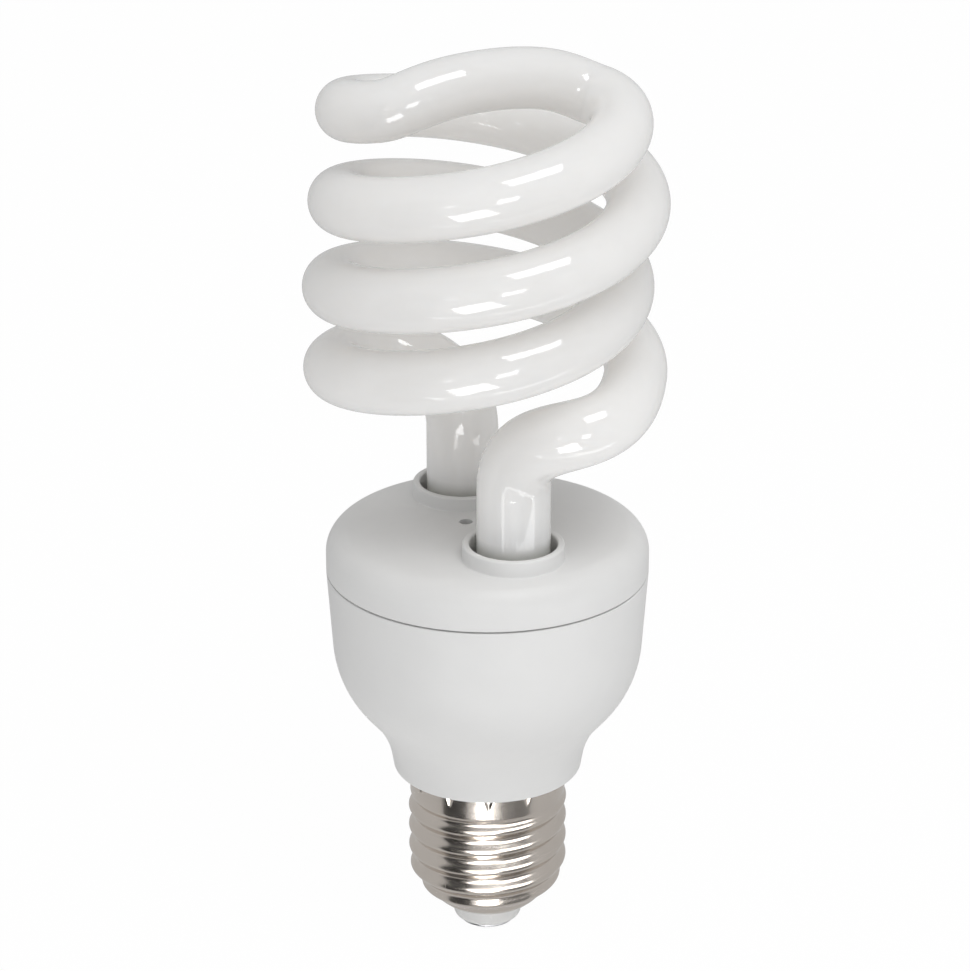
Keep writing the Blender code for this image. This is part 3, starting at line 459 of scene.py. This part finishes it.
def plate(shape, radius, holes, height):
    """A round sheet with (x, y, radius, segments) holes. Returns the corners of its rim and of each hole."""
    rims = []
    for x, y, rim_radius, segments in [(0, 0, radius, LATHE_SEGMENTS)] + holes:
        rims.append([Vector((x + rim_radius * cos(a), y + rim_radius * sin(a))) for a in circle(segments)])
    points = [point for rim in rims for point in rim]
    rows = ceil(radius / PLATE_GRID)
    for row in range(-rows, rows + 1):
        for column in range(-rows, rows + 1):
            point = Vector(((column + row % 2 / 2) * PLATE_GRID, row * PLATE_GRID * sin(pi / 3)))
            clear = [(point - Vector(hole[:2])).length > hole[2] + PLATE_GRID / 2 for hole in holes]
            if point.length < radius - PLATE_GRID / 2 and all(clear):
                points.append(point)
    flat = delaunay_2d_cdt(points, [], [], 0, MERGE_DISTANCE)
    made = [shape.verts.new((point.x, point.y, height(point.x, point.y))) for point in points]
    first = [origins[0] for origins in flat[3]]
    for face in flat[2]:
        corners = [first[corner] for corner in face]
        middle = sum((points[corner] for corner in corners), Vector((0, 0))) / 3
        if all((middle - Vector(hole[:2])).length > hole[2] * cos(pi / hole[3]) for hole in holes):
            shape.faces.new([made[corner] for corner in corners])
    edges = []
    start = 0
    for rim in rims:
        edges.append(made[start:start + len(rim)])
        start += len(rim)
    return edges


def wall(shape, foot, centre, outline):
    """Carries an edge through (radius, height) steps about an upright axis and returns its last ring."""
    for radius, height in outline:
        grown = ring(shape, centre, radius, height, len(foot))
        bridge(shape, foot, grown)
        foot = grown
    return foot


def make_cover(finish):
    """The top cover: a crowned disc with a filleted collar for each leg, a vent hole and a spigot below."""
    shape = bmesh.new()
    bore = LEG_RADIUS + COLLAR_GAP
    outer = bore + COLLAR_WALL
    legs = [(LEG_X, LEG_Y), (-LEG_X, -LEG_Y)]
    shoulder_centre = (SHOULDER_CENTRE_RADIUS, SHOULDER_CENTRE_HEIGHT)
    plate_radius = SHOULDER_CENTRE_RADIUS + COVER_SHOULDER * sin(PLATE_EDGE_ANGLE)
    vent = (VENT_X, VENT_Y, VENT_RADIUS, VENT_SEGMENTS)
    top_holes = [(x, y, outer + COLLAR_FILLET, COLLAR_SEGMENTS) for x, y in legs] + [vent]
    rim, *top_edges = plate(shape, plate_radius, top_holes, cover_top)

    bowl_bore = HOUSING_RIM_RADIUS - HOUSING_WALL / cos(WALL_DRAFT)
    spigot = bowl_bore - COVER_SPIGOT_LENGTH * tan(WALL_DRAFT) - CLEARANCE
    inner = spigot - COVER_SPIGOT_WALL
    edge = SEAM + CLEARANCE / 2
    outline = arc(shoulder_centre, COVER_SHOULDER, pi / 2 - PLATE_EDGE_ANGLE, 0)[1:]
    outline += arc((HOUSING_RIM_RADIUS - SEAM_EDGE, edge + SEAM_EDGE), SEAM_EDGE, 0, -pi / 2, ROUND_STEPS)
    outline += [(spigot, edge), (spigot, SEAM - COVER_SPIGOT_LENGTH), (inner, SEAM - COVER_SPIGOT_LENGTH)]
    foot = wall(shape, rim, (0, 0), outline)

    low_holes = [(x, y, bore, COLLAR_SEGMENTS) for x, y in legs] + [vent]
    low_rim, *low_edges = plate(shape, inner, low_holes, cover_underside)
    bridge(shape, foot, low_rim)

    top = SEAM + COLLAR_HEIGHT
    for centre, top_edge, low_edge in zip(legs, top_edges, low_edges):
        foot = top_edge
        for step in range(1, ROUND_STEPS * 2 + 1):
            angle = pi / 2 * step / (ROUND_STEPS * 2)
            radius = outer + COLLAR_FILLET * (1 - sin(angle))
            grown = ring(shape, centre, radius, 0, COLLAR_SEGMENTS)
            for corner, start in zip(grown, top_edge):
                corner.co.z = start.co.z + COLLAR_FILLET * (1 - cos(angle))
            bridge(shape, foot, grown)
            foot = grown
        outline = arc((outer - COLLAR_ROUND, top - COLLAR_ROUND), COLLAR_ROUND, 0, pi / 2, ROUND_STEPS * 2)
        outline += arc((bore + COLLAR_ROUND, top - COLLAR_ROUND), COLLAR_ROUND, pi / 2, pi, ROUND_STEPS * 2)
        bridge(shape, wall(shape, foot, centre, outline), low_edge)
    bridge(shape, top_edges[-1], low_edges[-1])
    return put("cover_shell", shape, finish, "base_plastic", "top_cover")


def bowl_outline(inset):
    """The housing's side, set in from its outer face, from its draft wall down to the neck's foot."""
    depth = SEAM - NECK_BOTTOM
    drop = BOWL_SHOULDER_RADIUS * (sin(BOWL_SLANT) - sin(WALL_DRAFT)) + BOWL_STRAIGHT * cos(BOWL_SLANT)
    drop += NECK_FILLET_RADIUS * (sin(BOWL_SLANT) - sin(NECK_DRAFT)) + NECK_LENGTH
    wall_depth = depth - drop
    shoulder_centre = (
        HOUSING_RIM_RADIUS - wall_depth * tan(WALL_DRAFT) - BOWL_SHOULDER_RADIUS * cos(WALL_DRAFT),
        SEAM - wall_depth + BOWL_SHOULDER_RADIUS * sin(WALL_DRAFT),
    )
    side = arc(shoulder_centre, BOWL_SHOULDER_RADIUS - inset, -WALL_DRAFT, -BOWL_SLANT)
    across = BOWL_SHOULDER_RADIUS + NECK_FILLET_RADIUS
    fillet_centre = (
        shoulder_centre[0] + across * cos(BOWL_SLANT) - BOWL_STRAIGHT * sin(BOWL_SLANT),
        shoulder_centre[1] - across * sin(BOWL_SLANT) - BOWL_STRAIGHT * cos(BOWL_SLANT),
    )
    side += arc(fillet_centre, NECK_FILLET_RADIUS + inset, pi - BOWL_SLANT, pi - NECK_DRAFT)
    neck_radius = fillet_centre[0] - (NECK_FILLET_RADIUS + inset) / cos(NECK_DRAFT)
    neck_radius -= (fillet_centre[1] - NECK_BOTTOM) * tan(NECK_DRAFT)
    return side, neck_radius


def make_housing(finish):
    """The lower housing: a thin bowl that narrows to its neck, with a spigot inside the screw cap."""
    outer, neck_radius = bowl_outline(0)
    inner, neck_bore = bowl_outline(HOUSING_WALL)
    edge = SEAM - CLEARANCE / 2
    floor = NECK_BOTTOM + HOUSING_WALL
    bore = SPIGOT_RADIUS - SPIGOT_WALL
    spigot_bottom = NECK_BOTTOM - SPIGOT_LENGTH
    corners = [(HOUSING_RIM_RADIUS, edge, SEAM_EDGE)] + [(radius, height, 0) for radius, height in outer]
    corners += [(neck_radius, NECK_BOTTOM, NECK_EDGE), (SPIGOT_RADIUS, NECK_BOTTOM, 0)]
    corners += [(SPIGOT_RADIUS, spigot_bottom, 0), (bore, spigot_bottom, 0)]
    corners += [(bore, floor, 0), (neck_bore, floor, 0)]
    corners += [(radius, height, 0) for radius, height in reversed(inner)]
    corners.append((HOUSING_RIM_RADIUS - HOUSING_WALL / cos(WALL_DRAFT), edge, SEAM_EDGE))
    return put("housing_shell", lathe(rounded(corners)), finish, "base_plastic", "lower_housing")


def make_cement(number, side, finish):
    """The ring of cement that holds the leg of one side, 1 or -1, in its collar."""
    inner = LEG_RADIUS + CLEARANCE
    outer = LEG_RADIUS + COLLAR_GAP - CLEARANCE
    top = SEAM + CEMENT_TOP_HEIGHT
    bottom = top - CEMENT_LENGTH
    corners = [(inner, top, CEMENT_ROUND), (outer, top, CEMENT_ROUND)]
    corners += [(outer, bottom, 0), (inner, bottom, 0)]
    shape = lathe(rounded(corners), SMALL_SEGMENTS, (side * LEG_X, side * LEG_Y))
    return put(f"cement_ring_{number}", shape, finish, "cement", f"tube_cement_{number}")


# Screw cap, insulator and contact

def cap_envelope(height):
    """Radius of the shell's thread crests: a straight wall, a round shoulder and a cone."""
    if height >= CAP_SHOULDER_TOP:
        return CAP_CREST_RADIUS
    if height >= CAP_CONE_TOP:
        across = sqrt(CAP_SHOULDER_RADIUS ** 2 - (CAP_SHOULDER_TOP - height) ** 2)
        return CAP_CREST_RADIUS - CAP_SHOULDER_RADIUS + across
    return CAP_END_RADIUS + (height - CAP_BOTTOM) * tan(CAP_CONE_SLANT)


def thread_cut(angle, height):
    """How far the shell lies inside its crests, where a right-hand thread climbs one pitch each turn."""
    turns = (height - CAP_RIM) / THREAD_PITCH + THREAD_TURN_SHARE
    wave = (1 - cos(2 * pi * turns - angle)) / 2
    below_rim = max(0, min(1, (CAP_RIM - THREAD_PLAIN - height) / THREAD_FADE))
    above_foot = max(0, min(1, (height - CAP_BOTTOM - THREAD_FOOT) / THREAD_RUN_OUT))
    lean = min(sin(CAP_CONE_SLANT), max(0, CAP_SHOULDER_TOP - height) / CAP_SHOULDER_RADIUS)
    depth = THREAD_DEPTH / sqrt(1 - lean * lean)
    return depth * (min(below_rim, above_foot) * wave + (1 - below_rim) * THREAD_RIM_SHARE)


def punch_mark(angle, height):
    """How far the row of triangular punch marks, which hold the shell on the neck, pushes the rim in."""
    spacing = 2 * pi / MARK_COUNT
    beside = abs((angle + pi / 2 - MARK_START + spacing / 2) % spacing - spacing / 2) * CAP_CREST_RADIUS
    width = MARK_HALF_WIDTH * (1 - (CAP_RIM - height) / MARK_LENGTH)
    return MARK_SLOPE * max(0, width - beside)


def make_screw_cap(finish):
    """The thin threaded shell with its row of punch marks."""
    shape = bmesh.new()
    length = CAP_RIM - CAP_BOTTOM
    outside = [(0, CAP_RIM - length * level / CAP_LEVELS) for level in range(CAP_LEVELS + 1)]
    inner_heights = [CAP_BOTTOM + length * level / CAP_INNER_LEVELS for level in range(CAP_INNER_LEVELS + 1)]
    inside = [(CAP_WALL, height) for height in inner_heights]
    rings = []
    for inset, height in outside + inside:
        corners = []
        for angle in circle(CAP_SEGMENTS):
            radius = cap_envelope(height) - thread_cut(angle, height) - inset
            if inset == 0:
                radius -= punch_mark(angle, height)
            corners.append(shape.verts.new((radius * cos(angle), radius * sin(angle), height)))
        rings.append(corners)
    for index, lower in enumerate(rings):
        bridge(shape, lower, rings[index - 1])
    return put("threaded_shell", shape, finish, "cap_nickel", "screw_cap")


def make_insulator(finish):
    """The insulator: a cone inside the shell and a rounded neck below it."""
    fit = CAP_WALL + CLEARANCE / cos(CAP_CONE_SLANT)
    neck = INSULATOR_NECK_RADIUS
    cone_foot = CAP_BOTTOM - (CAP_END_RADIUS - fit - neck) / tan(CAP_CONE_SLANT)
    foot = CONTACT_TOP + CLEARANCE
    hole = CONTACT_STEM_RADIUS + CLEARANCE
    top_radius = cap_envelope(INSULATOR_TOP_HEIGHT) - fit * 2
    outline = [(hole, INSULATOR_TOP_HEIGHT), (top_radius, INSULATOR_TOP_HEIGHT), (neck, cone_foot)]
    for step in range(ARC_STEPS + 1):
        angle = pi / 2 * step / ARC_STEPS
        radius = INSULATOR_FOOT_RADIUS + (neck - INSULATOR_FOOT_RADIUS) * cos(angle)
        outline.append((radius, INSULATOR_NECK_HEIGHT - (INSULATOR_NECK_HEIGHT - foot) * sin(angle)))
    outline.append((hole, foot))
    return put("cap_glass", lathe(outline), finish, "insulator", "cap_insulator")


def make_contact(finish):
    """The centre contact: a round-edged disc with its stem."""
    corners = [(0, 0, 0), (CONTACT_RADIUS, 0, CONTACT_EDGE), (CONTACT_RADIUS, CONTACT_TOP, CONTACT_EDGE)]
    corners += [(CONTACT_STEM_RADIUS, CONTACT_TOP, 0), (CONTACT_STEM_RADIUS, CONTACT_STEM_HEIGHT, 0)]
    corners.append((0, CONTACT_STEM_HEIGHT, 0))
    shape = lathe(rounded(corners), SMALL_SEGMENTS)
    return put("contact_plate", shape, finish, "contact_solder", "centre_contact")


# Finishes

def painted(name, colour, roughness, sockets):
    """A material with its other shader sockets set by name. Returns it with its nodes, links and shader."""
    material = bpy.data.materials.new(name)
    material.use_nodes = True
    nodes = material.node_tree.nodes
    links = material.node_tree.links
    shader = nodes["Principled BSDF"]
    shader.inputs["Base Color"].default_value = (*colour, 1)
    shader.inputs["Roughness"].default_value = roughness
    for socket, value in sockets.items():
        shader.inputs[socket].default_value = value
    return material, nodes, links, shader


def noise(nodes, links, scale, detail=PLAIN_DETAIL):
    """A noise value that is fixed to the object."""
    place = nodes.new("ShaderNodeTexCoord")
    texture = nodes.new("ShaderNodeTexNoise")
    texture.inputs["Scale"].default_value = scale
    texture.inputs["Detail"].default_value = detail
    links.new(place.outputs["Object"], texture.inputs["Vector"])
    return texture.outputs["Fac"]


def spread(nodes, links, value, onto=(0, 1), across=NOISE_RANGE):
    """Maps a value that runs across one range onto another."""
    change = nodes.new("ShaderNodeMapRange")
    change.inputs["From Min"].default_value, change.inputs["From Max"].default_value = across
    change.inputs["To Min"].default_value, change.inputs["To Max"].default_value = onto
    links.new(value, change.inputs["Value"])
    return change.outputs["Result"]


def tint(nodes, links, value, first, second):
    """A colour between two, by a value from 0 to 1. The second can also be another node's output."""
    mix = nodes.new("ShaderNodeMix")
    mix.data_type = "RGBA"
    mix.inputs["A"].default_value = (*first, 1)
    if isinstance(second, bpy.types.NodeSocket):
        links.new(second, mix.inputs["B"])
    else:
        mix.inputs["B"].default_value = (*second, 1)
    links.new(value, mix.inputs["Factor"])
    return mix.outputs["Result"]


def relief(nodes, links, shader, value, depth):
    """A bump of a given depth on a shader."""
    bump = nodes.new("ShaderNodeBump")
    bump.inputs["Distance"].default_value = depth
    links.new(value, bump.inputs["Height"])
    links.new(bump.outputs["Normal"], shader.inputs["Normal"])


def mottled(name, colour, roughness, scale, depth, contrast, sockets):
    """A finish whose colour and roughness vary a little, with a fine relief."""
    material, nodes, links, shader = painted(name, colour, roughness, sockets)
    broad = spread(nodes, links, noise(nodes, links, scale))
    dark = [channel * (1 - contrast) for channel in colour]
    links.new(tint(nodes, links, broad, dark, colour), shader.inputs["Base Color"])
    swing = (roughness * (1 - ROUGHNESS_SWING), roughness * (1 + ROUGHNESS_SWING))
    rough = spread(nodes, links, noise(nodes, links, scale * ROUGHNESS_FINENESS), swing)
    links.new(rough, shader.inputs["Roughness"])
    relief(nodes, links, shader, noise(nodes, links, scale * RELIEF_FINENESS, RELIEF_DETAIL), depth)
    return material


def coated_glass():
    """Glossy glass over a white phosphor coat, which ends a little above the sealed foot of each leg; below
    it the glass turns a darker grey, part bare glass and part painted shade where the leg stands in its
    collar.
    """
    scatter = {"Subsurface Weight": 1.0, "Subsurface Radius": GLASS_SCATTER, "Subsurface Scale": 1.0}
    material, nodes, links, shader = painted("coated_glass", COAT_COLOUR, GLASS_ROUGHNESS, scatter)
    place = nodes.new("ShaderNodeTexCoord")
    axes = nodes.new("ShaderNodeSeparateXYZ")
    links.new(place.outputs["Object"], axes.inputs["Vector"])
    heights = (SEAM + COAT_START_HEIGHT, SEAM + COAT_FULL_HEIGHT)
    coat_edge_and_shade = spread(nodes, links, axes.outputs["Z"], across=heights)
    broad = spread(nodes, links, noise(nodes, links, COAT_MOTTLE_SCALE))
    white = tint(nodes, links, broad, COAT_DARKER, COAT_LIGHTER)
    # Below the coat's edge the glass blends to darker grey: part bare glass, part painted shade by the
    # collars
    links.new(tint(nodes, links, coat_edge_and_shade, BARE_GLASS_AND_SHADE_COLOUR, white), shader.inputs["Base Color"])
    rough = spread(nodes, links, noise(nodes, links, GLASS_MOTTLE_SCALE), GLASS_ROUGHNESS_RANGE)
    links.new(rough, shader.inputs["Roughness"])
    return material


def paint_inner_parts():
    """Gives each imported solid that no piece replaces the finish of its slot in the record."""
    finishes = {slot: mottled(slot, *look) for slot, look in INNER_FINISHES.items()}
    for part in frame["record"]["subparts"]:
        if part["material_slot"] in finishes:
            materials = frame["nodes"][part["node"]].data.materials
            materials.clear()
            materials.append(finishes[part["material_slot"]])


# Stage

def empty_material(name):
    """A material with no nodes yet. Returns it with its nodes and links."""
    material = bpy.data.materials.new(name)
    material.use_nodes = True
    material.node_tree.nodes.clear()
    return material, material.node_tree.nodes, material.node_tree.links


def panel(name, width, height, material):
    """A flat sheet of one face about the origin."""
    shape = bmesh.new()
    size = Matrix.Diagonal((width, height, 1, 1))
    bmesh.ops.create_grid(shape, x_segments=1, y_segments=1, size=0.5, matrix=size)
    mesh = bpy.data.meshes.new(name)
    shape.to_mesh(mesh)
    shape.free()
    mesh.materials.append(material)
    sheet = bpy.data.objects.new(name, mesh)
    bpy.context.scene.collection.objects.link(sheet)
    return sheet


def calculate(nodes, links, operation, first, second):
    """The result of a sum between a value and another value or plain number."""
    step = nodes.new("ShaderNodeMath")
    step.operation = operation
    links.new(first, step.inputs[0])
    if isinstance(second, float):
        step.inputs[1].default_value = second
    else:
        links.new(second, step.inputs[1])
    return step.outputs["Value"]


def mixed(nodes, links, share, first, second):
    """The outgoing light of two shaders, mixed by a share."""
    mix = nodes.new("ShaderNodeMixShader")
    links.new(share, mix.inputs["Fac"])
    links.new(first, mix.inputs[1])
    links.new(second, mix.inputs[2])
    return mix.outputs["Shader"]


def seen_directly(nodes, links, ray):
    """1 for a ray that comes straight from the camera or through glass, otherwise 0."""
    kinds = ray.outputs["Is Camera Ray"], ray.outputs["Is Transmission Ray"]
    return calculate(nodes, links, "MAXIMUM", *kinds)


def make_floor():
    """A white floor that shows as white, takes the lamp's shadow and lets the light below it through."""
    material, nodes, links = empty_material("floor_white")
    paint = nodes.new("ShaderNodeBsdfDiffuse")
    paint.inputs["Color"].default_value = (FLOOR_WHITE, FLOOR_WHITE, FLOOR_WHITE, 1)
    glow = nodes.new("ShaderNodeEmission")
    ray = nodes.new("ShaderNodeLightPath")
    share = calculate(nodes, links, "MULTIPLY", seen_directly(nodes, links, ray), FLOOR_GLOW_SHARE)
    output = nodes.new("ShaderNodeOutputMaterial")
    surface = mixed(nodes, links, share, paint.outputs["BSDF"], glow.outputs["Emission"])
    links.new(surface, output.inputs["Surface"])
    floor = panel("floor", FLOOR_SIZE, FLOOR_SIZE, material)
    floor.visible_glossy = False
    floor.visible_shadow = False


def background(nodes, strength):
    """An even white background of one strength."""
    shader = nodes.new("ShaderNodeBackground")
    shader.inputs["Color"].default_value = (1, 1, 1, 1)
    shader.inputs["Strength"].default_value = strength
    return shader.outputs["Background"]


def make_world():
    """A white backdrop for the camera, an even white room for the light and a dimmer one for gloss."""
    world = bpy.data.worlds.new("studio")
    bpy.context.scene.world = world
    world.use_nodes = True
    nodes = world.node_tree.nodes
    links = world.node_tree.links
    nodes.clear()
    ray = nodes.new("ShaderNodeLightPath")
    rooms = background(nodes, ROOM_LIGHT), background(nodes, ROOM_IN_GLOSS)
    room = mixed(nodes, links, ray.outputs["Is Glossy Ray"], *rooms)
    sky = mixed(nodes, links, seen_directly(nodes, links, ray), room, background(nodes, BACKDROP_WHITE))
    output = nodes.new("ShaderNodeOutputWorld")
    links.new(sky, output.inputs["Surface"])


def direction(azimuth, elevation):
    """A direction from the lamp. Azimuth 0 is the front and 90 degrees the right."""
    return Vector((sin(azimuth) * cos(elevation), -cos(azimuth) * cos(elevation), sin(elevation)))


def make_card(name, aim_height, azimuth, elevation, distance, width, height, roll, strength):
    """A bright card or dark flag that only gloss mirrors. It faces a height on the lamp's axis."""
    material, nodes, links = empty_material(name)
    material.cycles.emission_sampling = "NONE"
    glow = nodes.new("ShaderNodeEmission")
    glow.inputs["Strength"].default_value = strength
    output = nodes.new("ShaderNodeOutputMaterial")
    links.new(glow.outputs["Emission"], output.inputs["Surface"])
    card = panel(name, width, height, material)
    out = direction(radians(azimuth), radians(elevation))
    place = Matrix.Translation(Vector((0, 0, aim_height)) + out * distance)
    facing = out.to_track_quat("Z", "Y").to_matrix().to_4x4()
    card.matrix_world = place @ facing @ Matrix.Rotation(radians(roll), 4, "Z")
    card.visible_camera = False
    card.visible_diffuse = False
    card.visible_transmission = False
    card.visible_shadow = False


def make_softbox(name, azimuth, elevation, distance, width, power):
    """A square light that faces the lamp's seam and isn't mirrored itself."""
    light = bpy.data.lights.new(name, "AREA")
    light.shape = "SQUARE"
    light.size = width
    light.energy = power
    lamp = bpy.data.objects.new(name, light)
    bpy.context.scene.collection.objects.link(lamp)
    out = direction(radians(azimuth), radians(elevation))
    lamp.location = Vector((0, 0, SEAM)) + out * distance
    lamp.rotation_euler = out.to_track_quat("Z", "Y").to_euler()
    lamp.visible_glossy = False
    lamp.visible_camera = False


def make_camera():
    """A long lens in front of the lamp and a little above it, aimed as the photograph was."""
    camera = bpy.data.cameras.new("camera")
    camera.sensor_fit = "HORIZONTAL"
    camera.sensor_width = SENSOR_WIDTH
    camera.lens = FOCAL_PIXELS / FRAME_WIDTH * SENSOR_WIDTH
    camera.clip_start = CAMERA_CLIP_START
    across = (FRAME_WIDTH / 2 - SEAM_PIXEL[0]) / FOCAL_PIXELS
    down = (SEAM_PIXEL[1] - FRAME_HEIGHT / 2) / FOCAL_PIXELS
    eye = bpy.data.objects.new("camera", camera)
    bpy.context.scene.collection.objects.link(eye)
    out = Vector((0, -cos(CAMERA_ELEVATION), sin(CAMERA_ELEVATION)))
    eye.location = Vector((0, 0, SEAM)) + out * CAMERA_DISTANCE
    eye.rotation_euler = (pi / 2 - CAMERA_ELEVATION + atan(down), 0, -atan(across))
    bpy.context.scene.camera = eye


def main():
    finishes = {name: mottled(name, *look) for name, look in OUTER_FINISHES.items()}
    make_tube(coated_glass())
    make_cover(finishes["base_plastic"])
    make_housing(finishes["base_plastic"])
    make_cement(1, 1, finishes["cement"])
    make_cement(2, -1, finishes["cement"])
    make_screw_cap(finishes["cap_nickel"])
    make_insulator(finishes["insulator"])
    make_contact(finishes["contact_solder"])
    paint_inner_parts()
    make_floor()
    make_world()
    for name, card in CARDS.items():
        make_card(name, *card)
    for name, softbox in SOFTBOXES.items():
        make_softbox(name, *softbox)
    make_camera()
    bpy.context.scene.view_settings.view_transform = "Standard"


main()
